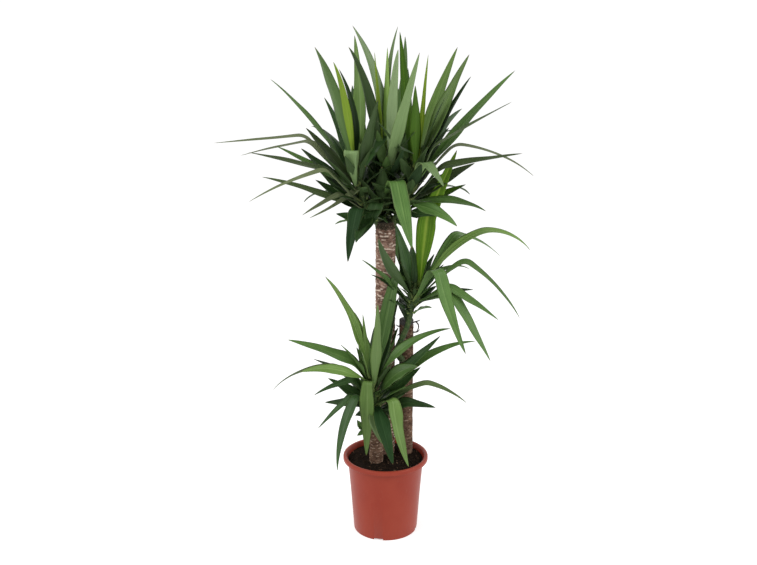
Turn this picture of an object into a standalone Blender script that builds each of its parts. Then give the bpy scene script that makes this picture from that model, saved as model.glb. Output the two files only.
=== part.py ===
"""Potted yucca: three upright canes in a nursery pot, with leafy shoots growing from their tops."""

from math import cos, pi, radians, sin

import bmesh
import bpy
from mathutils import Matrix, Vector

# Sizes are in metres, angles in degrees. +X is the plant's right, +Y its back, and Z is up.
GAP = 0.0003  # between pieces that touch
POT_HEIGHT = 0.226
RIM_RADIUS = 0.120
BODY_TOP_RADIUS = 0.1065
BASE_RADIUS = 0.0903
POT_WALL = 0.0019
LIP_DROP = 0.0125  # how far the rolled lip hangs down outside
WALL_TURNS = (0.204, 0.210, 0.2165)  # heights where the wall turns outwards below the lip
FLOOR_UNDER = 0.005
FLOOR_TOP = 0.0075
CENTRE_FOOT_RADIUS = 0.014
NOTCH_WIDTH = 0.027
NOTCH_HEIGHT = 0.0045
NOTCH_HEADINGS = (77, 167, 257, 347)
DRAIN_HOLES = 8
DRAIN_HOLE_RADIUS = 0.0045
DRAIN_RING_RADIUS = 0.068
SOIL_TOP = 0.2145
SOIL_CROWN = 0.0006  # how much higher the soil stands in the middle
SOIL_FLAT_RADIUS = 0.088  # from here to the wall the soil sinks a little
SOIL_SINK = 0.0008
SOIL_ROUNDING = 0.0045
CANE_FOOT = 0.085  # height of the canes' lower ends, buried in the soil
CANE_BEVEL = 0.0022  # at both cut ends
CANE_WAISTS = (0.25, 0.7)  # where the middle two radii are, from the soil to the top
TURN_STEPS = 48
CANE_STEPS = 28

# Each cane: where it stands, its height, and its radius from the soil to the top.
CANES = {
    "tall": {"x": -0.0008, "y": 0.045, "top": 0.897, "radii": (0.0272, 0.0268, 0.0274, 0.0272)},
    "middle": {"x": 0.0575, "y": 0.043, "top": 0.616, "radii": (0.0208, 0.0204, 0.0200, 0.0202)},
    "short": {"x": -0.026, "y": -0.020, "top": 0.352, "radii": (0.0200, 0.0195, 0.0192, 0.0192)},
}

# Each shoot: its cane, the line it grows along, and its radius at the foot and at the tip.
SHOOTS = {
    "left": {
        "cane": "tall",
        "line": ((-0.014, 0.042, 0.882), (-0.036, 0.036, 0.912), (-0.059, 0.035, 0.950),
                 (-0.073, 0.035, 0.997), (-0.078, 0.035, 1.045)),
        "radii": (0.0115, 0.0065),
    },
    "centre": {
        "cane": "tall",
        "line": ((-0.002, 0.060, 0.882), (-0.005, 0.066, 0.930), (-0.003, 0.066, 0.980),
                 (0.002, 0.066, 1.050)),
        "radii": (0.0115, 0.0065),
    },
    "right": {
        "cane": "tall",
        "line": ((0.014, 0.042, 0.882), (0.037, 0.036, 0.922), (0.057, 0.036, 0.963),
                 (0.068, 0.037, 1.010), (0.074, 0.038, 1.060)),
        "radii": (0.0115, 0.0065),
    },
    "middle": {
        "cane": "middle",
        "line": ((0.051, 0.033, 0.498), (0.041, 0.021, 0.509), (0.031, 0.012, 0.533),
                 (0.041, 0.007, 0.563), (0.057, 0.006, 0.602), (0.069, 0.012, 0.643),
                 (0.076, 0.022, 0.683), (0.082, 0.032, 0.726)),
        "radii": (0.0100, 0.0065),
    },
    "short": {
        "cane": "short",
        "line": ((-0.026, -0.021, 0.336), (-0.026, -0.026, 0.365), (-0.029, -0.029, 0.400),
                 (-0.034, -0.031, 0.440), (-0.038, -0.033, 0.475)),
        "radii": (0.0105, 0.0060),
    },
}


def leaf(at, heading, rise, length, droop, fold=None, veer=0, roll=0, wide=40, point=0.55, tone="mid"):
    """One leaf. It grows from the share `at` of its shoot, towards `heading` (0 is +X, 90 the back),
    leaves the shoot at `rise` above level and has lost `droop` by its tip. `fold` is where along the
    blade it creases and by how much, `veer` bends it sideways, and `roll` turns it about its length.
    `length` is in centimetres and `wide` in millimetres. `point` is the share of the length that
    narrows to the tip."""
    return {"at": at, "heading": heading, "rise": rise, "length": length, "droop": droop,
            "fold": fold, "veer": veer, "roll": roll, "wide": wide, "point": point, "tone": tone}


LEAVES = {
    "left": (
        leaf(0.93, 230, 72, 38.9, 24, veer=8, wide=48, point=0.46),
        leaf(0.97, 60, 82, 35.1, 1, veer=14, wide=40, tone="bright"),
        leaf(0.85, 165, 52, 36.1, 21, veer=-18, roll=-12, wide=27),
        leaf(0.72, 160, 49, 21, 6, roll=-20, wide=42, tone="dark"),
        leaf(0.66, 189, 49, 44.5, -1, fold=(0.46, 53), roll=-25, wide=18, tone="pale"),
        leaf(0.52, 200, 49, 35, 4, fold=(0.33, 30), roll=-20, wide=36, tone="dark"),
        leaf(0.46, 217, 47, 40.4, 20, fold=(0.40, 49), roll=-38, wide=14, tone="pale"),
        leaf(0.36, 170, 21, 30, 12, roll=-30, wide=28, tone="dark"),
        leaf(0.30, 246, 26, 22, 20, fold=(0.33, 80), wide=44, tone="dark"),
        leaf(0.90, 94, 47, 30.5, 14, wide=34, tone="dark"),
        leaf(0.60, 115, 38, 38, 44, wide=40, tone="dark"),
    ),
    "centre": (
        leaf(0.88, 215, 79, 40.9, 41, veer=27, roll=40, wide=30, tone="dark"),
        leaf(0.95, 140, 94, 38.7, 29, veer=21, wide=52, point=0.62, tone="pale"),
        leaf(0.90, 54, 100, 38.6, 40, roll=30, wide=20, tone="pale"),
        leaf(0.80, 291, 59, 41.5, 1, wide=50, point=0.88, tone="pale"),
        leaf(0.50, 282, 31, 33, 5, fold=(0.42, 86), veer=8, wide=44, point=0.36),
        leaf(0.70, 85, 54, 38, 30, wide=42),
        leaf(0.40, 70, 26, 36, 60, wide=42, tone="dark"),
    ),
    "right": (
        leaf(0.95, 120, 76, 37.2, 25, veer=-15, roll=-20, wide=28, tone="bright"),
        leaf(0.90, 50, 64, 35.5, 12, roll=25, wide=36, tone="bright"),
        leaf(0.84, 6, 69, 34.2, 5, veer=-5, roll=35, wide=46, point=0.46, tone="bright"),
        leaf(0.68, 20, 49, 41.5, 10, roll=25, wide=36),
        leaf(0.60, 340, 68, 38, 4, fold=(0.35, 34), roll=14, wide=30, tone="dark"),
        leaf(0.56, 354, 56, 40.5, 49, fold=(0.43, 48), roll=10, wide=26, tone="pale"),
        leaf(0.45, 345, 50, 35, 2, fold=(0.38, 37), roll=25, wide=34, tone="dark"),
        leaf(0.39, 318, 0, 18, 32, roll=40, wide=38),
        leaf(0.72, 100, 52, 38, 32, wide=42),
        leaf(0.40, 75, 28, 36, 55, wide=42, tone="dark"),
    ),
    "middle": (
        leaf(0.93, 30, 85, 40.4, -6, fold=(0.50, 21), veer=-11, roll=60, wide=52, tone="bright"),
        leaf(0.88, 14, 60, 42.3, 99, fold=(0.62, 15), roll=25, wide=28, point=0.36, tone="bright"),
        leaf(0.78, 42, 54, 45.5, 36, fold=(0.52, 59), roll=28, wide=30),
        leaf(0.84, 350, 46, 39.9, 37, fold=(0.44, 70), roll=25, wide=24),
        leaf(0.82, 306, 58, 40, 9, fold=(0.33, 137), veer=27, wide=44, point=0.50, tone="bright"),
        leaf(0.80, 345, 16, 32.2, 2, fold=(0.33, 74), roll=25, wide=42),
        leaf(0.85, 225, 46, 30, -4, veer=25, roll=50, wide=30, tone="dark"),
        leaf(0.85, 110, 52, 32, 36, wide=40),
    ),
    "short": (
        leaf(0.90, 32, 79, 35.2, 6, fold=(0.82, 101), roll=35, wide=40, point=0.38),
        leaf(0.92, 205, 82, 32.3, 28, veer=-22, roll=-50, wide=48, point=0.60, tone="bright"),
        leaf(0.78, 285, 72, 25.6, -38, veer=3, roll=10, wide=34, tone="bright"),
        leaf(0.77, 181, 62, 28, 12, fold=(0.30, 36), roll=-30, wide=40),
        leaf(0.84, 215, 34, 25.2, 36, veer=5, roll=-60, wide=28, point=0.40, tone="bright"),
        leaf(0.47, 170, 50, 35.1, 62, fold=(0.40, 39), roll=-6, wide=30, tone="dark"),
        leaf(0.28, 211, 50, 29, 23, fold=(0.27, 101), veer=25, roll=-25, wide=32, tone="dark"),
        leaf(0.68, 252, 55, 29.6, 0, fold=(0.21, 150), veer=-4, wide=42, point=0.50, tone="bright"),
        leaf(0.38, 278, -4, 21.4, 100, veer=15, wide=44, tone="dark"),
        leaf(0.40, 314, 29, 25.8, -34, fold=(0.26, 113), veer=-5, wide=50, tone="bright"),
        leaf(0.82, 5, 60, 27.2, 48, fold=(0.40, 9), roll=35, wide=30, tone="bright"),
        leaf(0.36, 346, 39, 28.6, 49, fold=(0.56, 30), roll=30, wide=22, tone="dark"),
    ),
}
LEAF_RINGS = 16  # sections along a plain leaf
LEAF_STEPS = 88  # fine steps that a leaf's line is worked out in
LEAF_NECK = 0.32  # width of a leaf's foot, as a share of its widest
LEAF_THICKNESS = 0.0024  # along the midrib, at the foot
LEAF_CHANNEL = 0.12  # how deep the blade's valley is, as a share of its width
LEAF_CURL = 0.022  # length of the curl in which a leaf turns away from its shoot
LEAF_START = 60  # the angle between a leaf's foot and the shoot's radius
FOLD_SPREAD = 0.045  # half the share of the length that a fold takes

TONES = {
    "bright": (0.110, 0.205, 0.042),
    "mid": (0.058, 0.118, 0.032),
    "dark": (0.026, 0.055, 0.018),
    "pale": (0.120, 0.190, 0.070),
}


def clear_scene():
    for old in list(bpy.data.objects):
        bpy.data.objects.remove(old, do_unlink=True)


def collection(name):
    made = bpy.data.collections.new(name)
    bpy.context.scene.collection.children.link(made)
    return made


def material(name, colour, roughness, metallic=0.0):
    made = bpy.data.materials.new(name)
    made.use_nodes = True
    shader = made.node_tree.nodes["Principled BSDF"]
    shader.inputs["Base Color"].default_value = (*colour, 1.0)
    shader.inputs["Roughness"].default_value = roughness
    shader.inputs["Metallic"].default_value = metallic
    made.diffuse_color = (*colour, 1.0)
    return made


def add(name, data, group, finish=None):
    made = bpy.data.objects.new(name, data)
    group.objects.link(made)
    if finish:
        data.materials.append(finish)
    return made


def as_cutter(obj):
    obj.hide_render = True
    obj.display_type = "WIRE"
    return obj


def cut(obj, cutter, name):
    made = obj.modifiers.new(name, "BOOLEAN")
    made.operation = "DIFFERENCE"
    made.object = cutter


def turned(name, profile, steps, group, finish=None):
    """A solid of revolution about Z. The profile of (radius, height) runs down its outer side."""
    mesh = bpy.data.meshes.new(name)
    edges = [(i, i + 1) for i in range(len(profile) - 1)]
    mesh.from_pydata([(radius, 0, height) for radius, height in profile], edges, [])
    made = add(name, mesh, group, finish)
    screw = made.modifiers.new("turn", "SCREW")
    screw.steps = steps
    screw.render_steps = steps
    screw.use_merge_vertices = True
    screw.merge_threshold = 0.0001
    screw.use_smooth_shade = True
    return made


def direction(heading, rise=0):
    flat = cos(radians(rise))
    return Vector((flat * cos(radians(heading)), flat * sin(radians(heading)), sin(radians(rise))))


def smooth(start, end, value):
    share = min(max((value - start) / (end - start), 0), 1)
    return share * share * (3 - 2 * share)


def through(points, share):
    """The place at a share, 0 to 1, of a smooth line through the points."""
    points = [Vector(p) for p in points]
    spot = min(max(share, 0), 1) * (len(points) - 1)
    i = min(int(spot), len(points) - 2)
    t = spot - i
    a, b, c, d = (points[min(max(k, 0), len(points) - 1)] for k in (i - 1, i, i + 1, i + 2))
    return 0.5 * (2 * b + (c - a) * t + (2 * a - 5 * b + 4 * c - d) * t * t
                  + (3 * b - a - 3 * c + d) * t * t * t)


def shoot_radius(shoot, at):
    foot, tip = shoot["radii"]
    return foot + (tip - foot) * at


def shoot_axis(shoot, at):
    ahead = through(shoot["line"], at + 0.02)
    behind = through(shoot["line"], at - 0.02)
    return (ahead - behind).normalized()


def tube(name, shoot, grow, group, finish=None):
    """The shoot as a tapering tube, made a mesh. `grow` is added to its radius and to its lower end."""
    curve = bpy.data.curves.new(name, "CURVE")
    curve.dimensions = "3D"
    curve.bevel_depth = 1.0
    curve.bevel_resolution = 3
    curve.use_fill_caps = True
    line = curve.splines.new("POLY")
    count = 4 * len(shoot["line"])
    line.points.add(count - 1)
    for i, point in enumerate(line.points):
        at = i / (count - 1)
        place = through(shoot["line"], at)
        if i == 0:
            place -= grow * shoot_axis(shoot, 0)
        point.co = (*place, 1)
        point.radius = shoot_radius(shoot, at) + grow
    source = add(name + "_line", curve, group)
    bpy.context.view_layer.update()
    evaluated = source.evaluated_get(bpy.context.evaluated_depsgraph_get())
    mesh = bpy.data.meshes.new_from_object(evaluated)
    bpy.data.objects.remove(source)
    caps = bmesh.new()
    caps.from_mesh(mesh)
    bmesh.ops.remove_doubles(caps, verts=caps.verts, dist=0.00001)
    caps.to_mesh(mesh)
    caps.free()
    mesh.materials.clear()
    mesh.name = name
    return add(name, mesh, group, finish)


def make_pot(parts, cutters):
    inner_base = BASE_RADIUS - POT_WALL
    lip_foot = POT_HEIGHT - LIP_DROP
    profile = [
        (0, FLOOR_TOP),
        (inner_base - 0.0015, FLOOR_TOP),
        (inner_base, FLOOR_TOP + 0.0025),
        *zip(inner_turns(), WALL_TURNS),
        (RIM_RADIUS - 0.0085, POT_HEIGHT - 0.0010),
        (RIM_RADIUS - 0.0065, POT_HEIGHT),
        (RIM_RADIUS - 0.0035, POT_HEIGHT),
        (RIM_RADIUS - 0.0010, POT_HEIGHT - 0.0012),
        (RIM_RADIUS, POT_HEIGHT - 0.0035),
        (RIM_RADIUS, lip_foot + 0.0008),
        (RIM_RADIUS - 0.0008, lip_foot),
        (RIM_RADIUS - 0.0016, lip_foot + 0.0008),
        (RIM_RADIUS - 0.0018, POT_HEIGHT - 0.0045),
        (RIM_RADIUS - 0.0035, POT_HEIGHT - 0.0022),
        (RIM_RADIUS - 0.0065, POT_HEIGHT - 0.0022),
        (RIM_RADIUS - 0.0092, POT_HEIGHT - 0.0050),
        (BODY_TOP_RADIUS + 0.0015, POT_HEIGHT - 0.0115),
        (BODY_TOP_RADIUS, POT_HEIGHT - 0.016),
        (BASE_RADIUS + 0.0002, 0.0020),
        (BASE_RADIUS - 0.0008, 0),
        (BASE_RADIUS - 0.0035, 0),
        (BASE_RADIUS - 0.0040, FLOOR_UNDER),
        (CENTRE_FOOT_RADIUS + 0.0010, FLOOR_UNDER),
        (CENTRE_FOOT_RADIUS, 0),
        (0, 0),
    ]
    colour = (0.300, 0.050, 0.030)
    pot = turned("pot", profile, TURN_STEPS, parts, material("terracotta_plastic", colour, 0.42))
    notches = bmesh.new()
    for heading in NOTCH_HEADINGS:
        place = (
            Matrix.Rotation(radians(heading), 4, "Z")
            @ Matrix.Translation((BASE_RADIUS, 0, 0))
            @ Matrix.Diagonal((0.012, NOTCH_WIDTH, 2 * NOTCH_HEIGHT, 1))
        )
        bmesh.ops.create_cube(notches, size=1, matrix=place)
    for hole in range(DRAIN_HOLES):
        turn = Matrix.Rotation(2 * pi * (hole + 0.5) / DRAIN_HOLES, 4, "Z")
        bmesh.ops.create_cone(
            notches, cap_ends=True, segments=16, radius1=DRAIN_HOLE_RADIUS, radius2=DRAIN_HOLE_RADIUS,
            depth=0.02, matrix=turn @ Matrix.Translation((DRAIN_RING_RADIUS, 0, FLOOR_TOP)),
        )
    mesh = bpy.data.meshes.new("pot_drainage")
    notches.to_mesh(mesh)
    notches.free()
    cut(pot, as_cutter(add("pot_drainage", mesh, cutters)), "drainage")
    return pot


def inner_turns():
    """Inner radii of the wall at the heights where it turns outwards below the lip."""
    return BODY_TOP_RADIUS - POT_WALL, BODY_TOP_RADIUS - POT_WALL + 0.0015, RIM_RADIUS - 0.0110


def wall_radius(height):
    """Inner radius of the pot's wall at a height."""
    turns = ((FLOOR_TOP + 0.0025, BASE_RADIUS - POT_WALL), *zip(WALL_TURNS, inner_turns()))
    for (low, foot), (high, top) in zip(turns, turns[1:]):
        if height <= high:
            break
    return foot + (top - foot) * (height - low) / (high - low)


def cane_profile(cane, grow, foot):
    """Outline of a cane, turned about its own axis. `grow` is added all over."""
    radii = cane["radii"]
    top = cane["top"] + grow
    profile = [(0, top), (radii[-1] - CANE_BEVEL, top), (radii[-1] + grow, top - CANE_BEVEL)]
    heights = [SOIL_TOP + share * (cane["top"] - SOIL_TOP) for share in (0, *CANE_WAISTS)]
    for radius, height in zip(reversed(radii[:3]), reversed(heights)):
        profile.append((radius + grow, height))
    profile.append((radii[0] + grow, foot + CANE_BEVEL))
    profile.append((radii[0] - CANE_BEVEL + grow, foot - grow))
    profile.append((0, foot - grow))
    return profile


def make_soil(parts, cutters):
    foot = FLOOR_TOP + GAP
    shoulder = SOIL_TOP - SOIL_ROUNDING
    corner = foot + 0.004
    profile = [
        (0, SOIL_TOP + SOIL_CROWN),
        (0.6 * SOIL_FLAT_RADIUS, SOIL_TOP + 0.7 * SOIL_CROWN),
        (SOIL_FLAT_RADIUS, SOIL_TOP),
        (wall_radius(SOIL_TOP) - 0.8 * SOIL_ROUNDING, SOIL_TOP - SOIL_SINK),
        *((wall_radius(height) - GAP, height) for height in (shoulder, *WALL_TURNS[1::-1], corner)),
        (wall_radius(foot) - 0.002, foot),
        (0, foot),
    ]
    soil = turned("soil", profile, TURN_STEPS, parts, material("peat", (0.012, 0.007, 0.005), 0.95))
    for name, cane in CANES.items():
        hole = turned(f"socket_for_{name}_cane", cane_profile(cane, GAP, CANE_FOOT), CANE_STEPS, cutters)
        hole.location = (cane["x"], cane["y"], 0)
        cut(soil, as_cutter(hole), f"{name}_cane")
    return soil


def make_cane(name, parts, cutters, bark):
    cane = CANES[name]
    made = turned(f"cane_{name}", cane_profile(cane, 0, CANE_FOOT), CANE_STEPS, parts, bark)
    made.location = (cane["x"], cane["y"], 0)
    for shoot_name, shoot in SHOOTS.items():
        if shoot["cane"] != name:
            continue
        socket = as_cutter(tube(f"socket_for_{shoot_name}_shoot", shoot, GAP, cutters))
        cut(made, socket, f"{shoot_name}_shoot")
    return made


def make_shoot(name, parts, finish):
    made = tube(f"shoot_{name}", SHOOTS[name], 0, parts, finish)
    for face in made.data.polygons:
        face.use_smooth = len(face.vertices) == 4
    return made


def leaf_line(shoot, spec):
    """The leaf's midrib: a list of (place, along, across) at even steps from foot to tip."""
    at = spec["at"]
    axis = shoot_axis(shoot, at)
    out = direction(spec["heading"])
    out = (out - out.dot(axis) * axis).normalized()
    side = axis.cross(out)
    start = (out * cos(radians(LEAF_START)) + axis * sin(radians(LEAF_START))).normalized()
    inward = 0.5 * LEAF_THICKNESS * sin(radians(LEAF_START))
    place = through(shoot["line"], at) + out * (shoot_radius(shoot, at) + GAP + inward)
    length = spec["length"] / 100
    step = length / LEAF_STEPS
    line = []
    for i in range(LEAF_STEPS + 1):
        share = i / LEAF_STEPS
        rise = spec["rise"] - spec["droop"] * share**1.6
        if spec["fold"]:
            crease, angle = spec["fold"]
            rise -= angle * smooth(crease - FOLD_SPREAD, crease + FOLD_SPREAD, share)
        away = smooth(0, LEAF_CURL, share * length)
        along = start.lerp(direction(spec["heading"], rise), away).normalized()
        across = side.lerp(direction(spec["heading"] + 90), away)
        across = (across - across.dot(along) * along).normalized()
        along = Matrix.Rotation(radians(spec["veer"] * share), 3, along.cross(across)) @ along
        across = (across - across.dot(along) * along).normalized()
        across = Matrix.Rotation(radians(spec["roll"]) * smooth(0, 0.4, share), 3, along) @ across
        line.append((place.copy(), along, across))
        place += along * step
    return line


def blade_width(share, spec):
    """How wide the blade is at a share of its length, in metres."""
    swell = LEAF_NECK + (1 - LEAF_NECK) * smooth(0, 0.45, share)
    taper = min(1, max(0, (1 - share) / spec["point"]) ** 0.75)
    return swell * taper * spec["wide"] / 1000


def ring_shares(spec):
    """Where the leaf's sections go: evenly spaced, and closer together through a fold."""
    shares = {round(i / LEAF_RINGS, 3) for i in range(LEAF_RINGS)}
    if spec["fold"]:
        crease = spec["fold"][0]
        shares = {share for share in shares if abs(share - crease) > FOLD_SPREAD}
        shares |= {crease + k * FOLD_SPREAD / 2 for k in range(-2, 3)}
    return sorted(shares)


def make_leaf(name, shoot, spec, parts, finish):
    """A closed blade lofted along its midrib: a shallow valley above, a keel below, thin edges."""
    line = leaf_line(shoot, spec)
    blade = bmesh.new()
    rings = []
    for share in ring_shares(spec):
        place, along, across = line[round(share * LEAF_STEPS)]
        up = along.cross(across)
        width = blade_width(share, spec)
        thick = LEAF_THICKNESS * (1 - 0.6 * share)
        edge = 0.5 * width * across
        raised = LEAF_CHANNEL * width * up
        section = (place - edge + raised, place - 0.5 * thick * up,
                   place + edge + raised, place + 0.5 * thick * up)
        rings.append([blade.verts.new(point) for point in section])
    tip = blade.verts.new(line[-1][0])
    for lower, upper in zip(rings, rings[1:]):
        for middle in (1, 3):
            # Each diagonal runs from the midrib up to an edge, so both sides of a twisted blade agree.
            before, after = middle - 1, (middle + 1) % 4
            blade.faces.new((lower[before], lower[middle], upper[before]))
            blade.faces.new((lower[middle], upper[middle], upper[before]))
            blade.faces.new((lower[middle], lower[after], upper[after]))
            blade.faces.new((lower[middle], upper[after], upper[middle]))
    for k in range(4):
        blade.faces.new((rings[-1][k], rings[-1][(k + 1) % 4], tip))
    for face in blade.faces:
        face.smooth = True
    blade.faces.new(rings[0])
    bmesh.ops.recalc_face_normals(blade, faces=blade.faces)
    mesh = bpy.data.meshes.new(name)
    blade.to_mesh(mesh)
    blade.free()
    return add(name, mesh, parts, finish)


def main():
    clear_scene()
    parts = collection("potted_yucca")
    cutters = collection("cutters")
    make_pot(parts, cutters)
    make_soil(parts, cutters)
    bark = material("bark", (0.105, 0.065, 0.040), 0.85)
    for name in CANES:
        make_cane(name, parts, cutters, bark)
    stalk = material("green_bark", (0.075, 0.120, 0.035), 0.5)
    greens = {tone: material(f"leaf_{tone}", colour, 0.38) for tone, colour in TONES.items()}
    for name, shoot in SHOOTS.items():
        make_shoot(name, parts, stalk)
        for number, spec in enumerate(LEAVES[name], 1):
            make_leaf(f"leaf_{name}_{number:02d}", shoot, spec, parts, greens[spec["tone"]])


main()
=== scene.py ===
import random
from math import cos, exp, pi, radians, sin

import bmesh
import bpy
from mathutils import Matrix, Vector, noise


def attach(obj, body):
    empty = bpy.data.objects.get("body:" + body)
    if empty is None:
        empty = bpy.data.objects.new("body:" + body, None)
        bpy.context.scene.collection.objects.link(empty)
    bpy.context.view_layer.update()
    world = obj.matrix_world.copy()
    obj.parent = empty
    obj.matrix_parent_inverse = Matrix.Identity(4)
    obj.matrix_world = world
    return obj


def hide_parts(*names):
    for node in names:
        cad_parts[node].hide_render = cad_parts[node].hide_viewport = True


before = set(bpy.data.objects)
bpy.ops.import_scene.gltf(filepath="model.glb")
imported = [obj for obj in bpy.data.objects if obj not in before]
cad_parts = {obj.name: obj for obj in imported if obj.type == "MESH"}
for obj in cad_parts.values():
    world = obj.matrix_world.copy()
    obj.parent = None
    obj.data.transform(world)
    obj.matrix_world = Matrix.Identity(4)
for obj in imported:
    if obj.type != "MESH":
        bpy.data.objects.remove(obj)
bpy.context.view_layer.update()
print("frame loaded")

# Metres and degrees. +X is the plant's right, +Y its back, Z up. The plant stands on z = 0.

studio = {
    "cameraPlace": (-0.02, -3.0, 1.64),
    "cameraTilt": 73.2,  # 90 looks level
    "lens": 54.9,
    "lamps": {
        "key": {"size": 2.2, "power": 66, "place": (-2.6, -1.6, 2.5), "target": (0, 0, 0.8)},
        "fill": {"size": 1.8, "power": 42, "place": (2.7, -1.2, 1.7), "target": (0, 0, 0.7)},
    },
    "worldLight": 0.62,
    "white": (1, 1, 1),
    "floorColour": (0.86, 0.86, 0.86),
    "floorGrain": (0.80, 0.80, 0.80),
    "floorGlow": 0.50,  # lifts the floor to white where it's seen, and lights nothing
    "floorHalf": 60.0,
    "floorLevel": -0.0003,
}


def newMaterial(name):
    made = bpy.data.materials.new(name)
    made.use_nodes = True
    made.node_tree.nodes.clear()
    return made, made.node_tree


# A socket takes a number, a colour or another node's output.
def plug(tree, socket, value):
    if isinstance(value, bpy.types.NodeSocket):
        tree.links.new(value, socket)
    elif isinstance(value, tuple) and len(value) == 3 and socket.type == "RGBA":
        socket.default_value = (*value, 1)
    else:
        socket.default_value = value


def addNode(tree, kind, inputs=None, **settings):
    made = tree.nodes.new("ShaderNode" + kind)
    for key, value in settings.items():
        setattr(made, key, value)
    for key, value in (inputs or {}).items():
        plug(tree, made.inputs[key], value)
    return made


def mathNode(tree, operation, a, b=0.0):
    return addNode(tree, "Math", {0: a, 1: b}, operation=operation).outputs[0]


def times(tree, a, b):
    return mathNode(tree, "MULTIPLY", a, b)


def plus(tree, a, b):
    return mathNode(tree, "ADD", a, b)


def mixColours(tree, share, a, b, blend="MIX"):
    return addNode(tree, "Mix", {0: share, 6: a, 7: b}, data_type="RGBA", blend_type=blend).outputs[2]


# The value, eased from start at low to end at high.
def between(tree, value, low, high, start=0.0, end=1.0):
    parts = dict(enumerate((value, low, high, start, end)))
    return addNode(tree, "MapRange", parts, interpolation_type="SMOOTHSTEP").outputs[0]


# The colour with others laid over it in turn. Each layer ends with its colour. Before it stands its mask, or
# the value, low, high, start and end that `between` makes the mask from.
def layered(tree, colour, *layers):
    for *mask, over in layers:
        share = between(tree, *mask) if mask[1:] else mask[0]
        colour = mixColours(tree, share, colour, over)
    return colour


# Noise of about one blob per unit, after the place is stretched by one number or by three.
def noiseNode(tree, place, stretch, detail=2.0, roughness=0.5):
    if not isinstance(stretch, tuple):
        stretch = (stretch, stretch, stretch)
    moved = addNode(tree, "VectorMath", {0: place, 1: stretch}, operation="MULTIPLY").outputs[0]
    return addNode(tree, "TexNoise", {"Vector": moved, "Scale": 1.0, "Detail": detail,
                                      "Roughness": roughness}).outputs[0]


def objectPlace(tree):
    return addNode(tree, "TexCoord").outputs["Object"]


def attributeNode(tree, name):
    return addNode(tree, "Attribute", attribute_name=name).outputs["Fac"]


# 1 where it is seen, straight on, in a mirror or through glass, and 0 for the light that falls on the plant.
def seenDirectly(tree):
    rays = addNode(tree, "LightPath").outputs
    seen = mathNode(tree, "MAXIMUM", rays["Is Camera Ray"], rays["Is Glossy Ray"])
    return mathNode(tree, "MAXIMUM", seen, rays["Is Transmission Ray"])


def finishMaterial(tree, colour, roughness, height, depth, strength, gloss):
    bump = addNode(tree, "Bump", {"Height": height, "Distance": depth, "Strength": strength})
    shader = addNode(tree, "BsdfPrincipled", {"Base Color": colour, "Roughness": roughness,
                                              "Specular IOR Level": gloss, "Normal": bump.outputs[0]})
    addNode(tree, "OutputMaterial", {0: shader.outputs[0]})


# Leaves: one look for each tone. `light` and `deep` are the two greens that the fine veins alternate between.
leafLookKeys = ("light", "deep", "stripe", "under", "stripeWidth", "rough", "gloss")
leafLooks = {
    "bright": ((0.158, 0.262, 0.066), (0.082, 0.156, 0.028), (0.21, 0.32, 0.1),
               (0.14, 0.215, 0.078), 0.05, 0.40, 0.18),
    # Painted light: a lighter copy of the bright green, for a leaf that faces away from the lamps.
    "paintedLightLime": ((0.25, 0.4, 0.075), (0.13, 0.245, 0.03), (0.3, 0.45, 0.12),
             (0.24, 0.37, 0.105), 0.05, 0.40, 0.18),
    "fresh": ((0.066, 0.15, 0.008), (0.026, 0.076, 0.003), (0.1, 0.19, 0.018),
              (0.066, 0.135, 0.018), 0.05, 0.38, 0.12),
    "mid": ((0.105, 0.2, 0.05), (0.042, 0.098, 0.018), (0.145, 0.24, 0.072),
            (0.098, 0.172, 0.05), 0.04, 0.38, 0.20),
    "dark": ((0.044, 0.094, 0.026), (0.012, 0.036, 0.008), (0.064, 0.118, 0.038),
             (0.062, 0.098, 0.036), 0.03, 0.36, 0.18),
    # Painted shade: a near-black copy of the dark green, for leaves that lie in shadow and for filler leaves.
    "shade": ((0.022, 0.054, 0.018), (0.008, 0.025, 0.006), (0.034, 0.072, 0.026),
              (0.036, 0.066, 0.028), 0.03, 0.42, 0.06),
    "pale": ((0.18, 0.27, 0.11), (0.095, 0.16, 0.052), (0.2, 0.29, 0.12),
             (0.205, 0.305, 0.122), 0.05, 0.42, 0.22),
    "olive": ((0.092, 0.135, 0.05), (0.04, 0.068, 0.02), (0.12, 0.165, 0.07),
              (0.098, 0.135, 0.062), 0.03, 0.40, 0.14),
    "dry": ((0.15, 0.18, 0.09), (0.08, 0.105, 0.045), (0.175, 0.205, 0.11),
            (0.15, 0.175, 0.092), 0.05, 0.46, 0.18),
    # Painted light: a lighter, greyer copy of the pale green, for a leaf that faces down, away from the
    # lamps, and one that lies in its neighbours' shadow.
    "paintedLightSilver": ((0.28, 0.4, 0.19), (0.16, 0.26, 0.1), (0.31, 0.43, 0.22),
               (0.29, 0.39, 0.195), 0.05, 0.42, 0.22),
    "young": ((0.11, 0.215, 0.012), (0.04, 0.105, 0.004), (0.24, 0.34, 0.045),
              (0.125, 0.215, 0.028), 0.12, 0.36, 0.12),
    "spear": ((0.25, 0.38, 0.026), (0.12, 0.225, 0.009), (0.33, 0.44, 0.055),
              (0.23, 0.35, 0.04), 0.12, 0.38, 0.12),
}
leafEdge = (0.230, 0.300, 0.090)
leafFoot = (0.270, 0.340, 0.110)
leafTip = (0.130, 0.085, 0.035)


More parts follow.
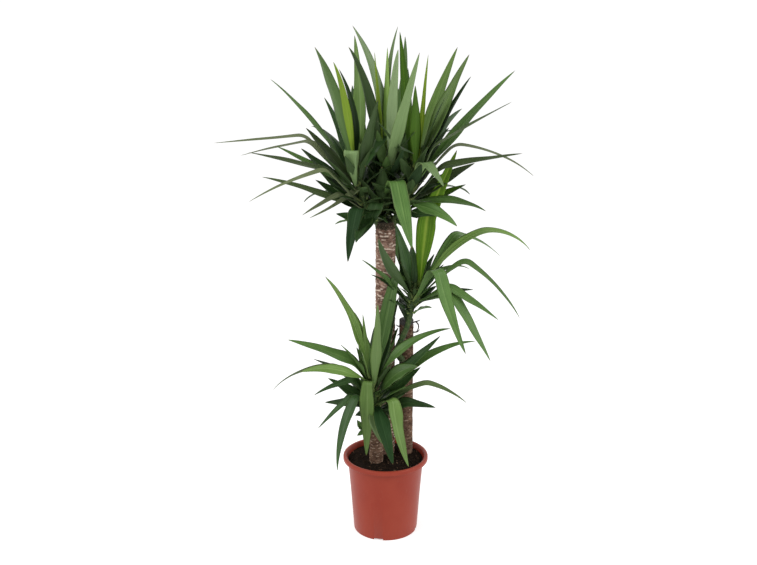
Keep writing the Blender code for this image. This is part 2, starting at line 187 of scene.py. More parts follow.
def leafMaterial(tone):
    look = dict(zip(leafLookKeys, leafLooks[tone]))
    light, deep = look["light"], look["deep"]
    made, tree = newMaterial("leaf_" + tone)
    blade = addNode(tree, "UVMap", uv_map="blade").outputs[0]  # x across the blade, y from foot to tip
    across, along = addNode(tree, "SeparateXYZ", {0: blade}).outputs[:2]
    tint, under = attributeNode(tree, "tint"), attributeNode(tree, "under")
    shifted = addNode(tree, "CombineXYZ", {0: across, 1: along, 2: times(tree, tint, 7.0)}).outputs[0]
    veins = noiseNode(tree, shifted, (38.0, 1.6, 1.0), 3.0, 0.6)
    bands = noiseNode(tree, shifted, (7.0, 2.2, 1.0))
    mottle = noiseNode(tree, objectPlace(tree), 22.0, 3.0)

    fromRib = mathNode(tree, "ABSOLUTE", mathNode(tree, "SUBTRACT", across, 0.5))  # 0.5 at the edges
    stripe = look["stripeWidth"]
    colour = layered(
        tree, deep,
        (veins, 0.36, 0.64, light),
        (bands, 0.35, 0.70, 0.0, 0.55, light),
        (fromRib, stripe, 0.25 * stripe, 0.0, 0.75, look["stripe"]),
        (fromRib, 0.465, 0.497, 0.0, 0.6, leafEdge),
        (mottle, 0.3, 0.75, 0.0, 0.35, deep))
    lift = between(tree, tint, 0.0, 1.0, 0.72, 1.28)  # each leaf a little darker or lighter
    grey = addNode(tree, "CombineColor", {0: lift, 1: lift, 2: lift}).outputs[0]
    ragged = plus(tree, along, times(tree, veins, 0.02))
    colour = layered(
        tree, mixColours(tree, 1.0, colour, grey, "MULTIPLY"),
        (times(tree, under, 0.6), look["under"]),
        (along, 0.09, 0.0, 0.0, 0.8, leafFoot),
        (ragged, 0.975, 1.005, 0.0, 0.9, leafTip))

    rough = plus(tree, between(tree, bands, 0.3, 0.7, look["rough"] - 0.05, look["rough"] + 0.08),
                 times(tree, under, 0.14))
    height = plus(tree, veins, times(tree, mottle, 1.5))
    finishMaterial(tree, colour, rough, height, 0.0005, 0.55, look["gloss"])
    return made


# Bark of the canes: brown, with fine crosswise cracks and cream flakes along the old leaf scars.
barkLooks = {
    "tall": {"dark": (0.055, 0.030, 0.021), "mid": (0.200, 0.112, 0.080), "light": (0.420, 0.265, 0.200),
             "flake": (0.960, 0.800, 0.660)},
    "plain": {"dark": (0.042, 0.023, 0.015), "mid": (0.145, 0.082, 0.053), "light": (0.290, 0.185, 0.125),
              "flake": (0.580, 0.440, 0.330)},
}
barkWax = (0.085, 0.078, 0.076)
# Painted shade: near-black olive on the knobbly top of the tall cane, partly its darker bark and partly the
# shade of the leaves above.
barkCrownAndShade = (0.022, 0.022, 0.012)


def barkMaterial(kind):
    look = barkLooks[kind]
    made, tree = newMaterial("bark_" + kind)
    place = objectPlace(tree)
    grain = noiseNode(tree, place, (130.0, 130.0, 420.0), 4.0, 0.65)
    patches = noiseNode(tree, place, (45.0, 45.0, 70.0), 3.0)
    specks = noiseNode(tree, place, (420.0, 420.0, 700.0))
    scar, wax, crown = (attributeNode(tree, name) for name in ("scar", "wax", "crown"))
    colour = layered(
        tree, look["dark"],
        (grain, 0.36, 0.60, look["mid"]),
        (patches, 0.42, 0.72, 0.0, 0.7, look["light"]),
        (grain, 0.50, 0.40, 0.0, 0.55, look["dark"]),
        (times(tree, scar, between(tree, grain, 0.34, 0.50, 0.3, 1.0)), look["flake"]),
        (specks, 0.60, 0.72, 0.0, 0.5, look["light"]),
        (wax, barkWax),
        (times(tree, crown, between(tree, specks, 0.62, 0.45, 0.5, 1.0)), barkCrownAndShade))
    rough = mathNode(tree, "SUBTRACT", 0.88, times(tree, wax, 0.35))
    finishMaterial(tree, colour, rough, plus(tree, grain, times(tree, specks, 0.4)), 0.0016, 0.8, 0.12)
    return made


# Green young stem, browner at its foot, with rings left by old leaves.
stemLook = {"dark": (0.020, 0.044, 0.014), "light": (0.050, 0.095, 0.026), "blotch": (0.075, 0.105, 0.034),
            "ring": (0.130, 0.150, 0.060), "foot": (0.110, 0.075, 0.045), "rough": 0.5}


def stemMaterial():
    made, tree = newMaterial("green_stem")
    place = objectPlace(tree)
    streaks = noiseNode(tree, place, (260.0, 260.0, 40.0), 3.0)
    blotches = noiseNode(tree, place, 60.0, 3.0)
    colour = layered(
        tree, stemLook["dark"],
        (streaks, 0.35, 0.65, stemLook["light"]),
        (blotches, 0.5, 0.7, 0.0, 0.5, stemLook["blotch"]),
        (times(tree, attributeNode(tree, "ring"), 0.4), stemLook["ring"]),
        (attributeNode(tree, "age"), stemLook["foot"]))
    finishMaterial(tree, colour, stemLook["rough"], streaks, 0.0006, 0.6, 0.15)
    return made


soilLook = {"dark": (0.004, 0.003, 0.002), "light": (0.023, 0.014, 0.010), "patch": (0.012, 0.008, 0.006),
            "chipDark": (0.060, 0.032, 0.018), "chipLight": (0.200, 0.120, 0.075), "rough": 0.93}


def soilMaterial():
    made, tree = newMaterial("peat")
    place = objectPlace(tree)
    crumbs = noiseNode(tree, place, 260.0, 5.0, 0.7)
    patches = noiseNode(tree, place, 50.0, 3.0)
    chip = attributeNode(tree, "chip")  # 0 peat, 1 pale bits of bark and fibre
    bark = mixColours(tree, between(tree, crumbs, 0.4, 0.6), soilLook["chipDark"], soilLook["chipLight"])
    colour = layered(
        tree, soilLook["dark"],
        (crumbs, 0.35, 0.65, soilLook["light"]),
        (patches, 0.4, 0.7, 0.0, 0.6, soilLook["patch"]),
        (chip, bark))
    finishMaterial(tree, colour, soilLook["rough"], crumbs, 0.0025, 1.0, 0.05)
    return made


potLook = {
    "colour": (0.292, 0.035, 0.017),
    "worn": (0.365, 0.062, 0.034),
    "dust": (0.330, 0.120, 0.075),
    "rough": 0.38,
    "gloss": 0.22,
}


def potMaterial():
    made, tree = newMaterial("terracotta_plastic")
    place = objectPlace(tree)
    cloud = noiseNode(tree, place, (14.0, 14.0, 9.0), 3.0)
    fine = noiseNode(tree, place, 900.0)
    scuffs = noiseNode(tree, place, (500.0, 500.0, 18.0))
    colour = layered(
        tree, potLook["colour"],
        (cloud, 0.35, 0.7, 0.0, 0.35, potLook["worn"]),
        (times(tree, attributeNode(tree, "worn"), 0.6), potLook["worn"]),
        (scuffs, 0.66, 0.78, 0.0, 0.25, potLook["dust"]))
    rough = between(tree, cloud, 0.3, 0.7, potLook["rough"] - 0.03, potLook["rough"] + 0.07)
    height = plus(tree, fine, times(tree, cloud, 2.0))
    finishMaterial(tree, colour, rough, height, 0.0003, 0.35, potLook["gloss"])
    return made


def addObject(name, data, place=(0, 0, 0), turn=(0, 0, 0)):
    made = bpy.data.objects.new(name, data)
    made.location = place
    made.rotation_euler = turn
    bpy.context.scene.collection.objects.link(made)
    return made


# One piece of the plant from its points and faces, with its finish, riding on the part.
def buildMesh(name, points, faces, finish, attributes, uv=None, replaces=None):
    mesh = bpy.data.meshes.new(name)
    mesh.from_pydata(points, [], faces)
    mesh.polygons.foreach_set("use_smooth", [True] * len(mesh.polygons))
    for key, values in attributes.items():
        layer = mesh.attributes.new(key, "FLOAT", "POINT")
        layer.data.foreach_set("value", values)
    if uv:
        layer = mesh.uv_layers.new(name="blade")
        layer.data.foreach_set("uv", [part for loop in mesh.loops for part in uv[loop.vertex_index]])
    mesh.materials.append(finish)
    mesh.validate()
    piece = addObject(name, mesh)
    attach(piece, "root")
    if replaces:
        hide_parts(replaces)
    return piece


# Joins corners that coincide and turns the faces outwards.
def turnOut(piece):
    shape = bmesh.new()
    shape.from_mesh(piece.data)
    bmesh.ops.remove_doubles(shape, verts=shape.verts, dist=0.000001)
    bmesh.ops.recalc_face_normals(shape, faces=shape.faces)
    shape.to_mesh(piece.data)
    shape.free()


def cutHoles(piece, drill):
    mesh = bpy.data.meshes.new("drill")
    drill.to_mesh(mesh)
    drill.free()
    cutter = addObject("drill", mesh)
    holes = piece.modifiers.new("holes", "BOOLEAN")
    holes.operation = "DIFFERENCE"
    holes.object = cutter
    bpy.context.view_layer.update()
    cut = bpy.data.meshes.new_from_object(piece.evaluated_get(bpy.context.evaluated_depsgraph_get()))
    piece.modifiers.clear()
    old = piece.data
    piece.data = cut
    bpy.data.meshes.remove(old)
    bpy.data.objects.remove(cutter)


# Smooth noise of one blob per unit, from -1 to 1.
def lumpsAt(x, y, z):
    return noise.noise(Vector((x, y, z)))


def smooth(start, end, value):
    share = min(max((value - start) / (end - start), 0), 1)
    return share * share * (3 - 2 * share)


# The value at a spot on a straight-sided line through (spot, value) stops.
def onStops(stops, spot):
    for (low, near), (high, far) in zip(stops, stops[1:]):
        if spot <= high:
            break
    return near + (far - near) * (spot - low) / (high - low)


def direction(heading, rise=0):
    flat = cos(radians(rise))
    return Vector((flat * cos(radians(heading)), flat * sin(radians(heading)), sin(radians(rise))))


# The place at a share, 0 to 1, of a smooth line through the points.
def through(points, share):
    points = [Vector(p) for p in points]
    spot = min(max(share, 0), 1) * (len(points) - 1)
    i = min(int(spot), len(points) - 2)
    t = spot - i
    a, b, c, d = (points[min(max(k, 0), len(points) - 1)] for k in (i - 1, i, i + 1, i + 2))
    return 0.5 * (2 * b + (c - a) * t + (2 * a - 5 * b + 4 * c - d) * t * t
                  + (3 * b - a - 3 * c + d) * t * t * t)


def axisAlong(points, share, reach):
    return (through(points, share + reach) - through(points, share - reach)).normalized()


# Two directions across an axis.
def frameAround(axis):
    side = axis.cross(Vector((0.3, 1, 0.1))).normalized()
    return side, axis.cross(side).normalized()


def turnsOf(sides):
    return [2 * pi * k / sides for k in range(sides)]


# Rings of points round a line. `size` gives the radius from the share, the place, the side axis and the turn.
def ringsAlong(line, steps, sides, reach, size):
    points = []
    for i in range(steps + 1):
        share = i / steps
        place = through(line, share)
        side, other = frameAround(axisAlong(line, share, reach))
        for turn in turnsOf(sides):
            out = cos(turn) * side + sin(turn) * other
            points.append(place + size(share, place, side, turn) * out)
    return points


# Faces between two rings that follow each other in the list of points.
def bandFaces(first, sides):
    pairs = ((first + k, first + (k + 1) % sides) for k in range(sides))
    return [(a, b, b + sides, a + sides) for a, b in pairs]


# Faces of a closed tube: its sides, and a flat cap at each end.
def tubeFaces(rings, sides, first=0):
    faces = []
    for i in range(rings - 1):
        faces += bandFaces(first + i * sides, sides)
    faces.append(tuple(first + k for k in reversed(range(sides))))
    faces.append(tuple(first + (rings - 1) * sides + k for k in range(sides)))
    return faces


# Pot: one moulded shell with a rolled lip, a notched foot ring, a centre foot and drain holes.

pot = {
    "height": 0.226,
    "rimRadius": 0.120,
    "bodyTopRadius": 0.1065,
    "baseRadius": 0.0903,
    "wall": 0.0019,
    "lipDrop": 0.0125,
    "cornerCut": 0.0012,
    "floorUnder": 0.005,
    "floorTop": 0.0075,
    "centreFootRadius": 0.014,
    "notchHeadings": (77, 167, 257, 347),
    "notchWidth": 0.027,
    "notchHeight": 0.0045,
    "notchEnd": 0.004,  # half the turn, in radians, in which a notch ends
    "footRing": (-0.006, 0.002),  # where the foot ring lies, from the base radius
    "drainHoles": 8,
    "drainHoleRadius": 0.0045,
    "drainRingRadius": 0.068,
    "lipMiddle": 0.005,  # in from the rim, the top of the lip, where it wears
    "wornLip": 0.004,  # how far that wear reaches
    "wornFoot": 0.012,
    "sides": 180,
}


# The profile, with each of its corners eased over a short length.
def softCorners(profile, cut):
    points = [Vector(p) for p in profile]
    eased = [points[0]]
    for before, corner, after in zip(points, points[1:], points[2:]):
        reach = min(cut, 0.35 * (corner - before).length, 0.35 * (after - corner).length)
        start = corner + (before - corner).normalized() * reach
        end = corner + (after - corner).normalized() * reach
        eased += [start, 0.25 * start + 0.5 * corner + 0.25 * end, end]
    return eased + [points[-1]]


# The wall inside, as (radius, height) from the floor to the mouth. Near the top it flares into the rim.
def insideWall():
    base, top, high = pot["baseRadius"] - pot["wall"], pot["bodyTopRadius"] - pot["wall"], pot["height"]
    return ((base, pot["floorTop"] + 0.0025), (top, high - 0.016), (top + 0.0015, high - 0.010),
            (pot["rimRadius"] - 0.0110, high - 0.0035))


def potOutline():
    rim, top, base, wall = pot["rimRadius"], pot["bodyTopRadius"], pot["baseRadius"], pot["wall"]
    high, under, floor = pot["height"], pot["floorUnder"], pot["floorTop"]
    lip = high - pot["lipDrop"]
    foot, axis = pot["centreFootRadius"], 0.0001
    return softCorners([
        # the floor and the wall inside
        (axis, floor), (base - wall - 0.0015, floor), *insideWall(),
        # over the lip, down its outside and up under it
        (rim - 0.0085, high - 0.0010), (rim - 0.0065, high), (rim - 0.0035, high),
        (rim - 0.0010, high - 0.0012), (rim, high - 0.0035), (rim, lip + 0.0008), (rim - 0.0008, lip),
        (rim - 0.0016, lip + 0.0008), (rim - 0.0018, high - 0.0045), (rim - 0.0035, high - 0.0022),
        (rim - 0.0065, high - 0.0022),
        # the wall outside, the foot ring, the floor's underside and the centre foot
        (rim - 0.0092, high - 0.0050), (top + 0.0015, high - 0.0115), (top, high - 0.016),
        (base + 0.5 * (top - base), 0.5 * high), (base + 0.0002, 0.0020), (base - 0.0008, 0.0),
        (base - 0.0035, 0.0), (base - 0.0040, under), (foot + 0.0010, under), (foot, 0.0), (axis, 0.0),
    ], pot["cornerCut"])


def makePot():
    base, outline = pot["baseRadius"], potOutline()
    half = 0.5 * pot["notchWidth"] / base
    inside, outside = (base + away for away in pot["footRing"])
    notches = [radians(heading) for heading in pot["notchHeadings"]]
    turns = turnsOf(pot["sides"])
    for notch in notches:
        for side in (-half, half):
            turns += [notch + side - pot["notchEnd"], notch + side + pot["notchEnd"]]
    turns = sorted(turn % (2 * pi) for turn in turns)
    points, worn = [], []
    for radius, height in outline:
        onRing = inside < radius < outside and height < pot["notchHeight"]
        fromLip, fromTop = radius - pot["rimRadius"] + pot["lipMiddle"], height - pot["height"]
        edge = exp(-(fromLip / pot["wornLip"]) ** 2 - (fromTop / pot["wornLip"]) ** 2)
        for turn in turns:
            apart = min(abs((turn - notch + pi) % (2 * pi) - pi) for notch in notches)
            raised = pot["notchHeight"] + 0.2 * height if onRing and apart < half else height
            points.append((radius * cos(turn), radius * sin(turn), raised))
            worn.append(min(1.0, edge + 0.7 * smooth(pot["wornFoot"], 0.0, height)))
    faces = tubeFaces(len(outline), len(turns))
    piece = buildMesh("potShell", points, faces, potMaterial(), {"worn": worn}, replaces="pot")
    turnOut(piece)
    drill = bmesh.new()
    for hole in range(pot["drainHoles"]):
        turn = Matrix.Rotation(2 * pi * (hole + 0.5) / pot["drainHoles"], 4, "Z")
        bmesh.ops.create_cone(drill, cap_ends=True, segments=24, radius1=pot["drainHoleRadius"],
                              radius2=pot["drainHoleRadius"], depth=0.02,
                              matrix=turn @ Matrix.Translation((pot["drainRingRadius"], 0, pot["floorTop"])))
    cutHoles(piece, drill)


makePot()
print("pot made")

# Soil: one block of peat with a rough top, and loose crumbs and bark chips lying on it.

soil = {
    "top": 0.2145,
    "crown": 0.0006,  # how much higher the middle is
    "crownRadius": 0.09,
    "sink": 0.0008,
    "edgeSink": 0.0012,
    "edge": (0.085, 0.104),  # radii between which it sinks by `edgeSink`, towards the wall
    "roughness": 0.0022,  # height of the lumps
    "gap": 0.0004,
    "foot": 0.0003,  # above the pot's floor
    "shoulder": 0.002,  # below its top, where it meets the wall
    "wallHeights": (0.210, 0.204),
    "footCorner": (0.002, 0.004),  # how far in and how far up the corner at its foot is cut
    "chipShow": 0.12,  # how much of the chips' colour shows in the peat
    "sides": 150,
    "steps": 64,
    "crumbs": 620,
    "crumbSize": (0.0009, 0.0030),
    "crumbLong": (0.8, 1.5),  # length, as a share of the size
    "crumbTone": (0.0, 0.12),  # 0 peat, 1 pale bark
    "chips": 46,
    "chipSize": (0.0012, 0.0024),
    "chipLong": (1.4, 2.6),
    "chipTone": (0.4, 1.0),
    "flatness": 0.7,
    "seat": 0.25,  # how high a crumb's middle lies, as a share of its size
    "looseRadius": 0.101,  # how far out the crumbs and chips lie
    "seed": 7,
}


# Inner radius of the pot at a height.
def wallRadius(height):
    return onStops([(level, radius) for radius, level in insideWall()], height)


def soilHeight(x, y):
    out = (x * x + y * y) ** 0.5
    lumps = lumpsAt(x * 55, y * 55, 3.0) + 0.6 * lumpsAt(x * 140, y * 140, 8.0)
    fine = 0.4 * lumpsAt(x * 380, y * 380, 1.0)
    crown = soil["crown"] * (1 - smooth(0.0, soil["crownRadius"], out))
    edge = soil["edgeSink"] * smooth(*soil["edge"], out)
    return soil["top"] - soil["sink"] + crown - edge + soil["roughness"] * (0.5 * lumps + fine)


# A small lump: a rough ball of 12 corners, flattened and turned.
def addCrumb(points, faces, tones, centre, size, long, tone, roll):
    ball = bmesh.new()
    bmesh.ops.create_icosphere(ball, subdivisions=1, radius=1.0)
    turn = Matrix.Rotation(roll, 3, "Z") @ Matrix.Rotation(roll * 3.7, 3, "X")
    first = len(points)
    for corner in ball.verts:
        rough = 1 + 0.45 * noise.noise(corner.co * 1.7 + centre * 900)
        spot = Vector((corner.co.x * size * long, corner.co.y * size, corner.co.z * size * soil["flatness"]))
        points.append(centre + turn @ spot * rough)
        tones.append(tone)
    faces += [tuple(first + corner.index for corner in face.verts) for face in ball.faces]
    ball.free()


def makeSoilBlock(finish):
    sides, steps = soil["sides"], soil["steps"]
    turns = turnsOf(sides)
    points, chip = [Vector((0, 0, soilHeight(0, 0)))], [0.0]
    edge = wallRadius(soil["top"] - soil["shoulder"]) - soil["gap"]
    for i in range(1, steps + 1):
        out = edge * (i / steps) ** 0.85  # rings closer together towards the wall
        for turn in turns:
            x, y = out * cos(turn), out * sin(turn)
            points.append(Vector((x, y, soilHeight(x, y))))
            chip.append(soil["chipShow"] * max(0.0, lumpsAt(x * 90, y * 90, 5.0)))
    foot = pot["floorTop"] + soil["foot"]
    inwards, upwards = soil["footCorner"]
    rings = [(height, wallRadius(height) - soil["gap"]) for height in (*soil["wallHeights"], foot + upwards)]
    rings.append((foot, wallRadius(foot) - inwards))
    for height, radius in rings:
        points += [Vector((radius * cos(turn), radius * sin(turn), height)) for turn in turns]
        chip += [0.0] * sides
    faces = [(0, 1 + k, 1 + (k + 1) % sides) for k in range(sides)]
    for i in range(steps + len(rings) - 1):
        faces += bandFaces(1 + i * sides, sides)
    faces.append(tuple(len(points) - 1 - k for k in range(sides)))
    block = buildMesh("soilBlock", points, faces, finish, {"chip": chip}, replaces="soil")
    turnOut(block)


def makeCrumbs(finish):
    draw = random.Random(soil["seed"])
    points, faces, chip = [], [], []
    for i in range(soil["crumbs"] + soil["chips"]):
        out, turn = soil["looseRadius"] * draw.random() ** 0.5, draw.uniform(0, 2 * pi)
        x, y = out * cos(turn), out * sin(turn)
        kind = "chip" if i >= soil["crumbs"] else "crumb"
        size, long, tone = (draw.uniform(*soil[kind + part]) for part in ("Size", "Long", "Tone"))
        centre = Vector((x, y, soilHeight(x, y) + soil["seat"] * size))
        addCrumb(points, faces, chip, centre, size, long, tone, draw.uniform(0, 6.28))
    buildMesh("soilCrumbs", points, faces, finish, {"chip": chip})


peat = soilMaterial()
makeSoilBlock(peat)
makeCrumbs(peat)
print("soil made")

# Canes: woody and cut straight, ringed by old leaf scars about a centimetre apart.

canes = {
    "tall": {"x": -0.0008, "y": 0.045, "top": 0.897, "radii": (0.0272, 0.0268, 0.0274, 0.0272),
             "look": "tall", "scarGap": (0.005, 0.012), "scarTilt": 0.0056, "scarBend": 0.0034,
             "scarThick": 0.0017, "scarHeight": 0.0013, "scarShow": 0.36, "lumps": 0.0009, "crown": True,
             "seed": 3},
    "middle": {"x": 0.0575, "y": 0.043, "top": 0.616, "radii": (0.0208, 0.0204, 0.0200, 0.0202),
               "look": "plain", "scarGap": (0.007, 0.013), "scarTilt": 0.0022, "scarBend": 0.0012,
               "scarThick": 0.0010, "scarHeight": 0.0006, "scarShow": 0.22, "lumps": 0.0008, "sealed": True,
               "seed": 5},
    "short": {"x": -0.026, "y": -0.020, "top": 0.352, "radii": (0.0200, 0.0195, 0.0192, 0.0192),
              "look": "plain", "scarGap": (0.006, 0.012), "scarTilt": 0.0022, "scarBend": 0.0016,
              "scarThick": 0.0011, "scarHeight": 0.0006, "scarShow": 0.30, "lumps": 0.0009, "seed": 11},
}
caneShape = {
    "foot": 0.085,  # the lower end, buried in the soil
    "bevel": 0.0022,
    "buried": (0.15, 0.19),  # levels below the soil's top, where the bark is plain
    "barkStart": 0.2,
    "barkStep": 0.00125,
    "roughFrom": (0.198, 0.206),
    "smoothTop": 0.003,
    "waists": (0.0, 0.25, 0.7, 1.0),  # where the four radii are, from the soil to the top
    "lastScar": 0.004,  # below the top, where the scars end
    "noiseRadius": 0.028,  # the bark's lumps are read off a round of this radius
    "scarWave": 0.0011,
    "scarReach": 0.004,
    "crown": (0.034, 0.014),  # below the top, the knobbly end where shoots have broken through, painted near-black with the shade of the leaves above
    "crownKnobs": 0.0030,
    "seal": (0.016, 0.011),  # below the top, where the dipped wax ends
    "cutEdge": 0.004,  # the same, where a cane that wasn't dipped is grey along its cut
    "inset": 0.0003,
    "sides": 120,
}


def caneRadius(cane, height):
    share = (height - soil["top"]) / (cane["top"] - soil["top"])
    return onStops(tuple(zip(caneShape["waists"], cane["radii"])), min(max(share, 0.0), 1.0))


# Each scar's height, tilt, the side it tilts to, and how strongly it shows.
def caneScars(cane):
    draw = random.Random(cane["seed"])
    scars, height = [], caneShape["buried"][1]
    while height < cane["top"] - caneShape["lastScar"]:
        height += draw.uniform(*cane["scarGap"])
        tilt, phase = draw.uniform(0.0, cane["scarTilt"]), draw.uniform(0, 2 * pi)
        scars.append((height, tilt, phase, draw.uniform(0.4, 1.0)))
    return scars


# How strongly the strongest of the scars shows at a spot.
def scarAt(cane, scars, spot, turn, wave):
    strongest = 0.0
    for middle, tilt, phase, weight in scars:
        bend = lumpsAt(spot.x * 60, spot.y * 60, middle * 300)
        line = middle + tilt * sin(turn + phase) + cane["scarBend"] * bend + caneShape["scarWave"] * wave
        away = spot.z - line
        if abs(away) < caneShape["scarReach"]:
            show = lumpsAt(spot.x * 110, spot.y * 110, middle * 400) + cane["scarShow"] - 0.35
            thick = cane["scarThick"] * (1 + 0.5 * bend)
            strongest = max(strongest, weight * exp(-(away / thick) ** 2) * smooth(-0.12, 0.22, show))
    return strongest


def makeCane(name, finish):
    cane, bevel, top = canes[name], caneShape["bevel"], canes[name]["top"]
    scars = caneScars(cane)
    start = caneShape["barkStart"]
    count = int((top - bevel - start) / caneShape["barkStep"])
    levels = [caneShape["foot"], caneShape["foot"] + bevel, *caneShape["buried"]]
    levels += [start + (top - bevel - start) * i / count for i in range(count + 1)]
    levels += [top - 0.5 * bevel, top]
    insets = {levels[0]: bevel, levels[-2]: 0.4 * bevel, levels[-1]: bevel}
    reach = cane["scarTilt"] + cane["scarBend"] + caneShape["scarReach"]
    noiseRadius = caneShape["noiseRadius"]
    points, scarTone, waxTone, crownAndShadeTone = [], [], [], []
    for level in levels:
        close = [scar for scar in scars if abs(scar[0] - level) < reach]
        body = caneRadius(cane, level) - insets.get(level, 0.0)
        bumpy = smooth(*caneShape["roughFrom"], level)
        bumpy *= 1 - smooth(top - caneShape["smoothTop"], top, level)
        crown = smooth(*(top - below for below in caneShape["crown"]), level) if "crown" in cane else 0.0
        for turn in turnsOf(caneShape["sides"]):
            spot = Vector((cos(turn) * noiseRadius, sin(turn) * noiseRadius, level))
            wave = noise.noise(spot * 90)
            scar = scarAt(cane, close, spot, turn, wave)
            lumps = cane["lumps"] * (noise.noise(spot * 62) + 0.6 * noise.noise(spot * 170))
            cracks = 0.35 * cane["lumps"] * lumpsAt(spot.x * 420, spot.y * 420, level * 1100)
            knobs = caneShape["crownKnobs"] * crown * noise.noise(spot * 150)
            relief = bumpy * (lumps + cracks + knobs + cane["scarHeight"] * scar)
            radius = body + relief - caneShape["inset"]
            points.append((cane["x"] + radius * cos(turn), cane["y"] + radius * sin(turn), level))
            scarTone.append(scar * (1 - 0.7 * crown))
            # the top's darker bark mixed with painted shade of the leaves above
            crownAndShadeTone.append(smooth(0.55, 0.95, crown + 0.35 * wave))
            if "sealed" in cane:
                waxTone.append(smooth(*(top - below for below in caneShape["seal"]), level + 0.003 * wave))
            else:
                waxTone.append(smooth(top - caneShape["cutEdge"], top, level))
    buildMesh(f"caneBark_{name}", points, tubeFaces(len(levels), caneShape["sides"]), finish,
              {"scar": scarTone, "wax": waxTone, "crown": crownAndShadeTone}, replaces=f"cane_{name}")


barks = {kind: barkMaterial(kind) for kind in barkLooks}
for caneName, cane in canes.items():
    makeCane(caneName, barks[cane["look"]])
print("canes made")

# Shoots: the green stems that grow out of the canes and carry the leaves.

shoots = {
    "left": {
        "line": ((-0.014, 0.042, 0.882), (-0.036, 0.036, 0.912), (-0.059, 0.035, 0.950),
                 (-0.073, 0.035, 0.997), (-0.078, 0.035, 1.045)),
        "radii": (0.0115, 0.0065),
    },
    "centre": {
        "line": ((-0.002, 0.060, 0.882), (-0.005, 0.066, 0.930), (-0.003, 0.066, 0.980),
                 (0.002, 0.066, 1.050)),
        "radii": (0.0115, 0.0065),
    },
    "right": {
        "line": ((0.014, 0.042, 0.882), (0.037, 0.036, 0.922), (0.057, 0.036, 0.963),
                 (0.068, 0.037, 1.010), (0.074, 0.038, 1.060)),
        "radii": (0.0115, 0.0065),
    },
    "middle": {
        "line": ((0.051, 0.033, 0.498), (0.041, 0.021, 0.509), (0.031, 0.012, 0.533),
                 (0.041, 0.007, 0.563), (0.057, 0.006, 0.602), (0.069, 0.012, 0.643),
                 (0.076, 0.022, 0.683), (0.082, 0.032, 0.726)),
        "radii": (0.0100, 0.0065),
    },
    "short": {
        "line": ((-0.026, -0.021, 0.336), (-0.026, -0.026, 0.365), (-0.029, -0.029, 0.400),
                 (-0.034, -0.031, 0.440), (-0.038, -0.033, 0.475)),
        "radii": (0.0105, 0.0060),
    },
    "sprout": {
        "line": ((-0.043, -0.022, 0.302), (-0.052, -0.023, 0.309), (-0.062, -0.025, 0.318)),
        "radii": (0.0035, 0.0025),
    },
}
shootShape = {
    "sides": 24,
    "steps": 90,
    "thinning": 0.06,
    "oldFoot": 0.16,  # how far up the brown of the foot reaches
    "rings": 22,  # old leaf bases along a shoot
    "ringWidth": 0.14,
    "ringWave": 0.35,
    "ringHeight": 0.0005,
    "waves": 0.0004,
    "inset": 0.0003,
    "tipClose": 0.3,
}


def shootRadius(shoot, at):
    foot, tip = shoot["radii"]
    return foot + (tip - foot) * at


def makeShoot(name, finish):
    shoot = shoots[name]
    sides, steps = shootShape["sides"], shootShape["steps"]
    age, ring = [], []

    def size(at, place, side, turn):
        wave = lumpsAt(place.x * 60 + cos(turn), place.y * 60 + sin(turn), place.z * 60)
        step = (at * shootShape["rings"] + shootShape["ringWave"] * wave) % 1.0
        ridge = exp(-((step - 0.5) / shootShape["ringWidth"]) ** 2)
        age.append(0.8 * smooth(shootShape["oldFoot"], 0.0, at + 0.05 * wave))
        ring.append(ridge)
        radius = (shootRadius(shoot, at) * (1 - shootShape["thinning"] * at)
                  + shootShape["ringHeight"] * ridge + shootShape["waves"] * wave - shootShape["inset"])
        return radius * shootShape["tipClose"] if at == 1 else radius

    points = ringsAlong(shoot["line"], steps, sides, 0.02, size)
    target = None if name == "sprout" else f"shoot_{name}"
    piece = buildMesh(f"shootStem_{name}", points, tubeFaces(steps + 1, sides), finish,
                      {"age": age, "ring": ring}, replaces=target)
    turnOut(piece)


stem = stemMaterial()
for shootName in shoots:
    makeShoot(shootName, stem)
print("shoots made")

# Leaves. Each grows from the share `at` of its shoot, towards `heading` (0 is +X, 90 the back), leaves
# the shoot at `rise` above level and has lost `droop` by its tip. `fold` is where along the blade it
# creases and by how much, `veer` bends it sideways and `roll` turns it about its length. Lengths are in
# centimetres and widths in millimetres, and `point` is the share of the length that narrows to the tip.


def leaf(at, heading, rise, length, droop, fold=None, veer=0, roll=0, wide=40, point=0.55, tone="mid"):
    return {"at": at, "heading": heading, "rise": rise, "length": length, "droop": droop,
            "fold": fold, "veer": veer, "roll": roll, "wide": wide, "point": point, "tone": tone}


def darkLeaf(*place, **shape):
    return leaf(*place, **shape, tone="dark")


leaves, moreLeaves = {}, {}

leaves["left"] = (
    leaf(0.93, 230, 72, 38.9, 24, veer=8, wide=48, point=0.46),
    leaf(0.97, 60, 82, 35.1, 1, veer=14, wide=40, tone="bright"),
    leaf(0.85, 165, 52, 36.1, 21, veer=-18, roll=-12, wide=27),
    leaf(0.72, 160, 49, 21, 6, roll=-20, wide=42, tone="olive"),
    leaf(0.66, 189, 49, 44.5, -1, fold=(0.46, 53), roll=-25, wide=18, tone="dry"),
    leaf(0.52, 200, 49, 35, 4, fold=(0.33, 30), roll=-20, wide=36, tone="olive"),
    leaf(0.46, 217, 47, 40.4, 20, fold=(0.40, 49), roll=-38, wide=14, tone="dry"),
    leaf(0.36, 170, 21, 30, 12, roll=-30, wide=26, tone="olive"),
    leaf(0.30, 246, 26, 22, 20, fold=(0.33, 80), wide=44, tone="shade"),
    darkLeaf(0.90, 94, 47, 30.5, 14, wide=34),
    darkLeaf(0.60, 115, 38, 38, 44, wide=40),
)
